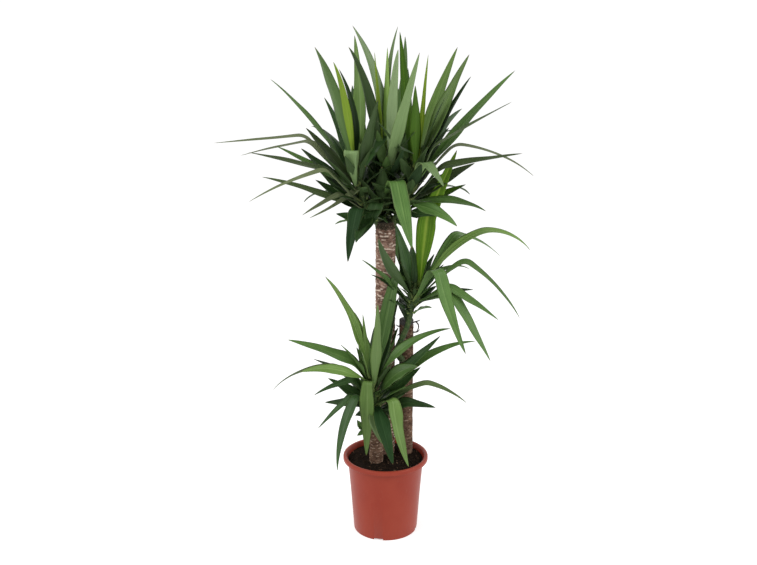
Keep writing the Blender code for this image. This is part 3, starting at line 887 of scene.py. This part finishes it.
leaves["centre"] = (
    darkLeaf(0.88, 215, 79, 40.9, 41, veer=27, roll=40, wide=30),
    # Painted light: the next leaf takes the lighter silver-green copy of its green, as it faces down, away
    # from the lamps.
    leaf(0.95, 140, 94, 38.7, 29, veer=21, wide=52, point=0.62, tone="paintedLightSilver"),
    leaf(0.90, 54, 100, 38.6, 40, roll=30, wide=20, tone="pale"),
    leaf(0.80, 291, 59, 41.5, 1, wide=50, point=0.88, tone="pale"),
    leaf(0.50, 282, 31, 33, 5, fold=(0.42, 86), veer=8, wide=44, point=0.36),
    leaf(0.70, 85, 54, 38, 30, wide=42),
    darkLeaf(0.40, 70, 26, 36, 60, wide=42),
)
leaves["right"] = (
    leaf(0.95, 120, 76, 37.2, 25, veer=-15, roll=-20, wide=28, tone="fresh"),
    leaf(0.90, 50, 64, 35.5, 12, roll=25, wide=36, tone="bright"),
    leaf(0.84, 6, 69, 34.2, 5, veer=-5, roll=35, wide=46, point=0.46, tone="bright"),
    leaf(0.68, 20, 49, 41.5, 10, roll=25, wide=36),
    leaf(0.60, 340, 68, 38, 4, fold=(0.35, 34), roll=14, wide=30, tone="olive"),
    leaf(0.56, 354, 56, 40.5, 49, fold=(0.43, 48), roll=10, wide=26, tone="dry"),
    leaf(0.45, 345, 50, 35, 2, fold=(0.38, 37), roll=25, wide=34, tone="olive"),
    leaf(0.39, 318, 0, 18, 32, roll=40, wide=38),
    leaf(0.72, 100, 52, 38, 32, wide=42),
    darkLeaf(0.40, 75, 28, 36, 55, wide=42),
)
leaves["middle"] = (
    leaf(0.93, 30, 85, 40.4, -6, fold=(0.50, 21), veer=-11, roll=60, wide=52, tone="young"),
    leaf(0.88, 14, 60, 42.3, 99, fold=(0.62, 15), roll=25, wide=28, point=0.36, tone="bright"),
    leaf(0.78, 42, 54, 45.5, 36, fold=(0.52, 59), roll=28, wide=30),
    leaf(0.84, 350, 46, 39.9, 37, fold=(0.44, 70), roll=25, wide=24),
    leaf(0.82, 306, 58, 40, 9, fold=(0.33, 137), veer=27, wide=44, point=0.50),
    leaf(0.80, 345, 16, 32.2, 2, fold=(0.33, 74), roll=25, wide=42),
    darkLeaf(0.85, 225, 46, 30, -4, veer=25, roll=50, wide=30),
    leaf(0.85, 110, 52, 32, 36, wide=40),
)
leaves["short"] = (
    leaf(0.90, 32, 79, 35.2, 6, fold=(0.82, 101), roll=35, wide=40, point=0.38),
    leaf(0.92, 205, 82, 32.3, 28, veer=-22, roll=-50, wide=48, point=0.60, tone="bright"),
    leaf(0.78, 285, 72, 25.6, -38, veer=3, roll=10, wide=34, tone="bright"),
    leaf(0.77, 181, 62, 28, 12, fold=(0.30, 36), roll=-30, wide=40),
    leaf(0.84, 215, 34, 25.2, 36, veer=5, roll=-60, wide=28, point=0.40, tone="bright"),
    leaf(0.47, 170, 50, 35.1, 62, fold=(0.40, 39), roll=-6, wide=30, tone="olive"),
    darkLeaf(0.28, 211, 50, 29, 23, fold=(0.27, 101), veer=25, roll=-25, wide=32),
    leaf(0.68, 252, 55, 29.6, 0, fold=(0.21, 150), veer=-4, wide=42, point=0.50, tone="bright"),
    leaf(0.38, 278, -4, 21.4, 100, veer=15, wide=44, tone="shade"),
    leaf(0.40, 314, 29, 25.8, -34, fold=(0.26, 113), veer=-5, wide=50, tone="bright"),
    leaf(0.82, 5, 60, 27.2, 48, fold=(0.40, 9), roll=35, wide=30),
    leaf(0.36, 346, 39, 28.6, 49, fold=(0.56, 30), roll=30, wide=22, tone="olive"),
)

# The leaves in between: inner spears, short lower leaves and the far side of each head.
moreLeaves["left"] = (
    leaf(0.97, 252, 70, 38.2, 40, veer=6, roll=20, wide=22, tone="spear"),
    leaf(0.62, 150, 42, 44.4, 6, fold=(0.44, 53), roll=-20, wide=22, tone="dry"),
    leaf(0.66, 172, 30, 25.2, 6, roll=-30, wide=26),
    darkLeaf(0.50, 168, 43, 21.8, 4, roll=-30, wide=44),
    darkLeaf(0.32, 172, 35, 16.7, 4, roll=-35, wide=40),
    darkLeaf(0.44, 155, 37, 19.3, 4, roll=-30, wide=40),
    leaf(0.86, 258, 55, 22.6, 0, fold=(0.45, 173), wide=38, tone="pale"),
    darkLeaf(0.85, 150, 74, 22.8, 20, roll=-40, wide=26),
    darkLeaf(0.90, 125, 108, 32.4, 3, veer=37, roll=-30, wide=20),
    darkLeaf(0.14, 180, 14, 10.4, 0, roll=-50, wide=36),
    leaf(0.40, 205, 37, 20.4, 10, fold=(0.42, 55), roll=-30, wide=20, tone="dry"),
    darkLeaf(0.25, 255, -6, 15.1, 30, wide=44),
    darkLeaf(0.70, 60, 48, 36, 26),
    leaf(0.45, 85, 30, 34, 50),
    darkLeaf(0.30, 130, 18, 31, 60),
    darkLeaf(0.20, 70, 10, 27, 50),
    darkLeaf(0.75, 300, 70, 26, 6, wide=38),
    darkLeaf(0.14, 140, 44, 10, 10, wide=56),
)
moreLeaves["centre"] = (
    leaf(0.99, 225, 81, 31.0, 5, veer=9, wide=18, tone="spear"),
    # Painted light: the next two take the lighter lime-green and silver-green copies of their greens, as one
    # faces away from the lamps and the other lies in its neighbours' shadow.
    leaf(0.99, 260, 92, 31, -4, wide=20, tone="paintedLightLime"),
    leaf(0.92, 290, 76, 40.4, 44, veer=-14, wide=30, tone="paintedLightSilver"),
    darkLeaf(0.70, 250, 100, 31, 0, fold=(0.45, 122), wide=36),
    darkLeaf(0.62, 300, 78, 24, 0, fold=(0.55, 80), wide=36),
    darkLeaf(0.25, 255, 37, 17.4, 0, fold=(0.30, 92), veer=-30, wide=44),
    leaf(0.30, 205, 48, 25.3, -20, fold=(0.33, 84), roll=-20, wide=22, tone="dry"),
    leaf(0.70, 60, 61, 50.7, 29, veer=27, wide=30),
    darkLeaf(0.55, 50, 40, 36, 45),
    darkLeaf(0.30, 130, 14, 30, 50),
    darkLeaf(0.28, 265, 72, 14, 10, wide=50),
    darkLeaf(0.30, 322, 60, 15, 10, wide=48),
    darkLeaf(0.24, 214, 58, 15, 14, wide=48),
    darkLeaf(0.50, 40, 78, 19, 6, wide=60),
    darkLeaf(0.35, 140, 75, 20, 6, wide=60),
    darkLeaf(0.20, 150, 60, 15, 10, wide=56),
    darkLeaf(0.60, 100, 82, 16, 4, wide=60),
    darkLeaf(0.12, 165, 52, 9, 10, roll=-20, wide=52),
    darkLeaf(0.08, 80, 72, 11, 4, wide=60),
    darkLeaf(0.16, 20, 58, 11, 10, roll=20, wide=56),
    # Painted shade: near-black filler leaves, put where the head shows only shade.
    leaf(0.75, 303, 43, 18.6, 8, veer=-26, wide=26, tone="shade"),
    leaf(0.55, 350, 37, 14, 0, roll=40, wide=46, tone="shade"),
    leaf(0.20, 320, 9, 11, 30, roll=35, wide=38, tone="shade"),
)
moreLeaves["right"] = (
    darkLeaf(0.88, 115, 76, 28.9, 30, veer=-19, wide=26),
    leaf(0.97, 20, 86, 28.8, 2, roll=40, wide=15, tone="spear"),
    leaf(0.90, 290, 88, 22.3, 0, veer=-3, wide=34, tone="fresh"),
    darkLeaf(0.80, 0, 66, 30.3, 10, roll=35, wide=32),
    darkLeaf(0.50, 40, 52, 23, 6, fold=(0.6, 22), wide=24),
    leaf(0.42, 12, 33, 21.1, 10, roll=35, wide=44, tone="olive"),
    leaf(0.62, 300, 53, 25.9, 0, fold=(0.42, 68), veer=-16, wide=38, tone="pale"),
    leaf(0.28, 12, 21, 18.5, 0, roll=35, wide=34, tone="fresh"),
    leaf(0.40, 348, 12, 21.8, 40, roll=25, wide=36),
    leaf(0.80, 85, 56, 23.4, 14, wide=34),
    darkLeaf(0.60, 60, 44, 36, 35),
    darkLeaf(0.30, 50, 18, 32, 55),
    # Painted shade: a near-black filler leaf in front of a paler leaf, where the head shows only shade.
    leaf(0.60, 286, 46, 12.5, 2, wide=38, tone="shade"),
)
moreLeaves["middle"] = (
    leaf(0.88, 20, 54, 18.8, 88, roll=20, wide=20),
    leaf(0.79, 352, 30, 27, 10, fold=(0.39, 57), roll=30, wide=34),
    darkLeaf(0.78, 10, 23, 17.4, 30, roll=30, wide=26),
    darkLeaf(0.92, 150, 80, 20.4, 8, veer=13, roll=-40, wide=32),
    darkLeaf(0.86, 140, 74, 16, 1, roll=-40, wide=32),
    leaf(0.80, 196, 47, 19.3, 9, roll=-30, wide=26),
    darkLeaf(0.76, 190, 54, 14.9, 32, roll=-30, wide=22),
    leaf(0.90, 60, 72, 17.2, 37, wide=34),
    darkLeaf(0.72, 75, 46, 20, 30, wide=32),
    darkLeaf(0.60, 100, 30, 13.4, 10, wide=34),
)
moreLeaves["short"] = (
    darkLeaf(0.80, 35, 76, 25, 10, roll=30, wide=36),
    leaf(0.99, 150, 86, 18, 2, roll=-30, wide=18, tone="bright"),
    darkLeaf(0.50, 160, 44, 21, 2, fold=(0.5, 28), roll=-20, wide=24),
    darkLeaf(0.38, 195, 65, 22.2, 30, fold=(0.45, 64), roll=-35, wide=26),
    darkLeaf(0.34, 172, 36, 15.1, 10, roll=-35, wide=38),
    darkLeaf(0.22, 200, 46, 21.8, 8, fold=(0.40, 82), roll=-30, wide=22),
    darkLeaf(0.20, 165, 27, 15, -2, fold=(0.35, 34), roll=-30, wide=38),
    leaf(0.30, 262, 0, 13.9, 80, veer=30, wide=38, tone="pale"),
    leaf(0.58, 345, 62, 15.8, 55, roll=45, wide=46, point=0.35),
    darkLeaf(0.62, 8, 40, 24, -4, roll=40, wide=34),
    leaf(0.50, 12, 47, 33, 50, roll=35, wide=30),
    darkLeaf(0.42, 15, 37, 15.6, 0, roll=35, wide=38),
    darkLeaf(0.40, 350, 33, 11.3, 10, roll=40, wide=40),
    darkLeaf(0.26, 350, 20, 16.6, 10, fold=(0.50, 20), roll=35, wide=36),
    leaf(0.80, 110, 58, 22, 24, wide=38),
    darkLeaf(0.55, 90, 44, 26, 36, wide=38),
    darkLeaf(0.35, 130, 30, 24, 40, wide=38),
)
moreLeaves["sprout"] = (
    leaf(0.60, 215, 40, 2.8, 10, roll=-30, wide=17),
    leaf(0.95, 150, 62, 2.8, 10, roll=-30, wide=18),
    leaf(0.45, 200, -20, 3.0, 10, roll=-40, wide=17),
)

# Short inner leaves that close each head. Each next one up the shoot turns on by the golden angle.
whorls = {
    "left": {"count": 26, "span": (0.1, 0.9), "length": (10, 17), "rise": (5, 66), "turn": 20,
             "front": 0.75},
    "centre": {"count": 32, "span": (0.04, 0.92), "length": (10, 18), "rise": (0, 70), "turn": 75,
               "front": 0.8},
    "right": {"count": 26, "span": (0.1, 0.9), "length": (10, 17), "rise": (5, 66), "turn": 150,
              "front": 0.75},
    "middle": {"count": 16, "span": (0.7, 0.94), "length": (7, 13), "rise": (30, 68), "turn": 200,
               "front": 0.45},
    "short": {"count": 24, "span": (0.1, 0.9), "length": (8, 15), "rise": (8, 68), "turn": 40, "front": 0.4},
}
goldenAngle = 137.5
whorlSpread = {"rise": (-9, 9), "length": (0.65, 1.2), "droop": (6, 36), "roll": (-30, 30), "wide": (26, 42)}
whorlPaler = 0.25  # the share of them that is a lighter green


def whorlLeaf(whorl, number, draw):
    share = number / (whorl["count"] - 1)
    at, length, rise = (low + (high - low) * share
                        for low, high in (whorl[key] for key in ("span", "length", "rise")))
    heading = (whorl["turn"] + goldenAngle * number) % 360
    facing = 1 + (whorl["front"] - 1) * smooth(0.3, 0.8, -sin(radians(heading)))  # smaller at the front
    lift, size, droop, roll, wide = (draw.uniform(*ends) for ends in whorlSpread.values())
    tone = "mid" if draw.random() < whorlPaler else "dark"
    return leaf(at, heading, rise + lift, length * size * facing, droop * (1.3 - share), roll=roll,
                wide=wide * facing, tone=tone)


blade = {
    "steps": 88,
    "neck": 0.32,  # width of the foot, as a share of the widest
    "widest": 0.45,  # where it is widest, as a share of the length
    "thickness": 0.0014,
    "cadThickness": 0.0024,
    "keel": 0.6,  # the midrib under the leaf, as a share of the thickness
    "channel": 0.12,  # how deep the valley is, as a share of the width
    "clasp": 0.42,  # the same at the foot, where it wraps round the shoot
    "claspReach": 0.10,
    "thinning": 0.6,  # how much thinner it is at the tip
    "keelWidth": 0.16,
    "curl": 0.022,  # length of the curl in which a leaf turns away from its shoot
    "start": 60,  # how far a leaf's foot leans from straight out towards the shoot's tip
    "foldSpread": 0.045,
    "foldRings": 0.06,  # how far the finer rings reach on each side of a crease
    "pinch": 0.035,  # the same for the valley that is pressed flat
    "ripple": 0.035,  # waviness of the edges, as a share of the width
    "waves": (13, 19),  # of the edges, along the leaf
    "gap": 0.0003,
    "seed": 21,
}
acrossTop = [k / 4 - 1 for k in range(9)]  # the blade's points across, from one edge to the other


# The leaf's midrib: a list of (place, along, across) at even steps from foot to tip.
def leafLine(shoot, spec):
    at = spec["at"]
    axis = axisAlong(shoot["line"], at, 0.02)
    out = direction(spec["heading"])
    out = (out - out.dot(axis) * axis).normalized()
    side = axis.cross(out)
    lean = radians(blade["start"])
    start = (out * cos(lean) + axis * sin(lean)).normalized()
    inward = 0.5 * blade["cadThickness"] * sin(lean)
    place = through(shoot["line"], at) + out * (shootRadius(shoot, at) + blade["gap"] + inward)
    length = spec["length"] / 100
    step = length / blade["steps"]
    curl = min(blade["curl"], 0.5 * length)
    line = []
    for i in range(blade["steps"] + 1):
        share = i / blade["steps"]
        rise = spec["rise"] - spec["droop"] * share**1.6
        if spec["fold"]:
            crease, angle = spec["fold"]
            rise -= angle * smooth(crease - blade["foldSpread"], crease + blade["foldSpread"], share)
        away = smooth(0, curl, share * length)
        along = start.lerp(direction(spec["heading"], rise), away).normalized()
        across = side.lerp(direction(spec["heading"] + 90), away)
        across = (across - across.dot(along) * along).normalized()
        along = Matrix.Rotation(radians(spec["veer"] * share), 3, along.cross(across)) @ along
        across = (across - across.dot(along) * along).normalized()
        across = Matrix.Rotation(radians(spec["roll"]) * smooth(0, 0.4, share), 3, along) @ across
        line.append((place.copy(), along, across))
        place += along * step
    return line


def bladeWidth(share, spec):
    swell = blade["neck"] + (1 - blade["neck"]) * smooth(0, blade["widest"], share)
    taper = min(1, max(0, (1 - share) / spec["point"]) ** 0.75)
    return swell * taper * spec["wide"] / 1000


def makeLeaf(name, shoot, spec, finish, draw, replaces=None):
    line = leafLine(shoot, spec)
    tint, phase, second = draw.random(), draw.uniform(0, 6.28), draw.uniform(0, 6.28)
    crease, angle = spec["fold"] or (None, 0)
    long, short = blade["waves"]
    steps = [i for i in range(blade["steps"])
             if i % 2 == 0 or (crease and abs(i / blade["steps"] - crease) < blade["foldRings"])]
    points, uv, under = [], [], []
    for i in steps:
        share = i / blade["steps"]
        place, along, across = line[i]
        up = along.cross(across)
        width = bladeWidth(share, spec)
        pinch = exp(-((share - crease) / blade["pinch"]) ** 2) * min(1, angle / 60) if crease else 0.0
        clasp = smooth(blade["claspReach"], 0.0, share)
        channel = blade["channel"] + (blade["clasp"] - blade["channel"]) * clasp
        channel *= 1 - 0.75 * pinch
        thick = blade["thickness"] * (1 - blade["thinning"] * share)
        ripple = blade["ripple"] * smooth(0.08, 0.3, share) * (1 - pinch)
        for below, row in ((0.0, acrossTop), (1.0, acrossTop[-2:0:-1])):
            for s in row:
                sag = ripple * (s * sin(long * share + phase) + 0.7 * s * s * sin(short * share + second))
                keel = blade["keel"] * thick * exp(-(s / blade["keelWidth"]) ** 2)
                depth = below * (thick * (1 - s * s) ** 0.5 + keel)
                lift = width * (channel * abs(s)**1.3 + sag) - depth
                points.append(place + 0.5 * width * s * across + lift * up)
                uv.append((0.5 + 0.5 * s, share))
                under.append(below)
    sides = 2 * len(acrossTop) - 2
    faces = tubeFaces(len(steps), sides)[:-1]
    last = len(points) - sides
    points.append(line[-1][0])
    uv.append((0.5, 1.0))
    under.append(0.5)
    faces += [(last + k, last + (k + 1) % sides, last + sides) for k in range(sides)]
    tones = {"tint": [tint] * len(points), "under": under}
    buildMesh(name, points, faces, finish, tones, uv, replaces)


greens = {tone: leafMaterial(tone) for tone in leafLooks}
draw = random.Random(blade["seed"])
for prefix, heads in (("leafBlade", leaves), ("leafMore", moreLeaves)):
    for shootName, specs in heads.items():
        for number, spec in enumerate(specs, 1):
            end = f"{shootName}_{number:02d}"
            target = f"leaf_{end}" if heads is leaves else None
            makeLeaf(f"{prefix}_{end}", shoots[shootName], spec, greens[spec["tone"]], draw, target)
for shootName, whorl in whorls.items():
    for number in range(whorl["count"]):
        spec = whorlLeaf(whorl, number, draw)
        name = f"leafInner_{shootName}_{number + 1:02d}"
        makeLeaf(name, shoots[shootName], spec, greens[spec["tone"]], draw)
print("leaves made")

# Dry rootlets that curl off the sealed top of the middle cane.

curls = {
    "lines": (
        ((0.074, 0.036, 0.607), (0.088, 0.034, 0.612), (0.096, 0.033, 0.616)),
        ((0.084, 0.034, 0.610), (0.090, 0.033, 0.603), (0.091, 0.033, 0.592), (0.086, 0.034, 0.582),
         (0.078, 0.036, 0.578)),
        ((0.076, 0.036, 0.579), (0.088, 0.033, 0.581), (0.094, 0.032, 0.588)),
        ((0.040, 0.034, 0.597), (0.033, 0.031, 0.599), (0.029, 0.030, 0.603)),
        ((0.038, 0.036, 0.573), (0.032, 0.034, 0.570)),
        ((0.078, 0.038, 0.560), (0.083, 0.036, 0.563)),
    ),
    "radius": 0.0022,
    "thinning": 0.55,
    "knots": 0.3,
    "wax": 0.3,
    # Painted shade: most of the near-black olive of the tall cane's top, partly the rootlets' own dark colour
    # and partly the shade of the middle head's leaves.
    "crown": 0.9,
    "sides": 8,
    "steps": 14,
}


def curlSize(at, place, side, turn):
    knots = 1 + curls["knots"] * noise.noise(place * 300 + side * turn * curls["sides"] / (2 * pi))
    return curls["radius"] * (1 - curls["thinning"] * at) * knots


def makeCurls(finish):
    sides, steps = curls["sides"], curls["steps"]
    points, faces = [], []
    for line in curls["lines"]:
        faces += tubeFaces(steps + 1, sides, len(points))
        points += ringsAlong(line, steps, sides, 0.03, curlSize)
    tones = {"scar": 0.0, "wax": curls["wax"], "crown": curls["crown"]}
    piece = buildMesh("dryCurls", points, faces, finish,
                      {key: [value] * len(points) for key, value in tones.items()})
    turnOut(piece)


makeCurls(barks["plain"])
print("curls made")

# Studio: a camera, two soft lamps, an even white world and a pale floor that keeps the plant's shadow.


def makeCamera():
    lens = bpy.data.cameras.new("camera")
    lens.lens = studio["lens"]
    turn = (radians(studio["cameraTilt"]), 0, 0)
    bpy.context.scene.camera = addObject("camera", lens, studio["cameraPlace"], turn)


def makeLamps():
    for name, lamp in studio["lamps"].items():
        light = bpy.data.lights.new(name, "AREA")
        light.size = lamp["size"]
        light.energy = lamp["power"]
        aim = Vector(lamp["target"]) - Vector(lamp["place"])
        addObject(name, light, lamp["place"], aim.to_track_quat("-Z", "Y").to_euler())


def makeWorld():
    world = bpy.data.worlds.new("studio")
    bpy.context.scene.world = world
    world.use_nodes = True
    tree = world.node_tree
    tree.nodes.clear()
    level = plus(tree, studio["worldLight"], times(tree, seenDirectly(tree), 1 - studio["worldLight"]))
    sky = addNode(tree, "Background", {"Color": studio["white"], "Strength": level})
    addNode(tree, "OutputWorld", {0: sky.outputs[0]})


def makeFloor():
    finish, tree = newMaterial("floor")
    grain = noiseNode(tree, objectPlace(tree), 40.0)
    colour = mixColours(tree, between(tree, grain, 0.3, 0.7, 0.0, 0.03), studio["floorColour"],
                        studio["floorGrain"])
    matte = addNode(tree, "BsdfDiffuse", {"Color": colour})
    glow = addNode(tree, "Emission", {"Color": studio["white"],
                                      "Strength": times(tree, seenDirectly(tree), studio["floorGlow"])})
    both = addNode(tree, "AddShader", {0: matte.outputs[0], 1: glow.outputs[0]})
    addNode(tree, "OutputMaterial", {0: both.outputs[0]})
    half, level = studio["floorHalf"], studio["floorLevel"]
    ground = bpy.data.meshes.new("floor")
    corners = ((-half, -half, level), (half, -half, level), (half, half, level), (-half, half, level))
    ground.from_pydata(corners, [], [(0, 1, 2, 3)])
    ground.materials.append(finish)
    addObject("floor", ground)


bpy.context.scene.view_settings.view_transform = "Standard"
makeCamera()
makeLamps()
makeWorld()
makeFloor()
print("studio made")


bpy.context.view_layer.update()
